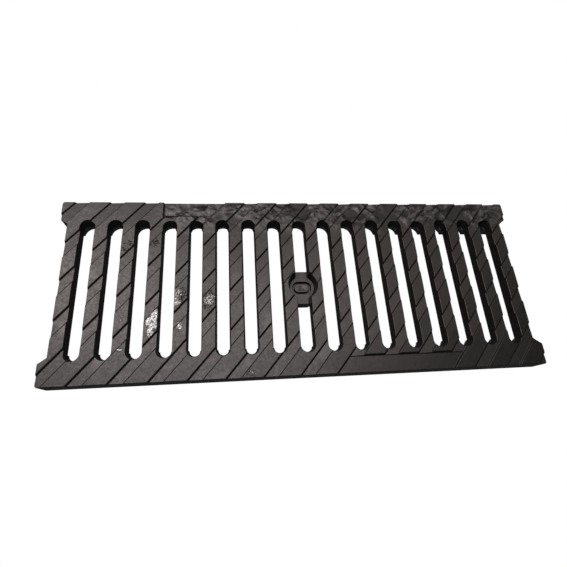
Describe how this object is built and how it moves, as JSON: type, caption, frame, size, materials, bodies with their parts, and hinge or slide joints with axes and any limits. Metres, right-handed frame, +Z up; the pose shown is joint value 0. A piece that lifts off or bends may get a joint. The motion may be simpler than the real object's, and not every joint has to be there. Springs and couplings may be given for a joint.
{
  "type": "channel drain grate",
  "caption": "Rectangular slotted cast-iron grate for a drainage channel, with cross slots, diagonal anti-slip ribs, deep seat rims and a central housing for a locking bolt.",
  "frame": {"origin": "middle of the seat plane, on which both rims stand", "axes": "+X along the channel, +Y across it towards the rim with the short bare panel, +Z up out of the walking surface"},
  "size_m": [0.5, 0.192, 0.024],
  "materials": {
    "painted_iron": "black dipped coating over sand-cast skin, semi-gloss, glossy where it ran",
    "bolt_iron": "forged, black coated, a little lighter than the casting"
  },
  "bodies": {
    "root": {"grate": "painted_iron", "lock_bolt": "bolt_iron"}
  },
  "joints": []
}
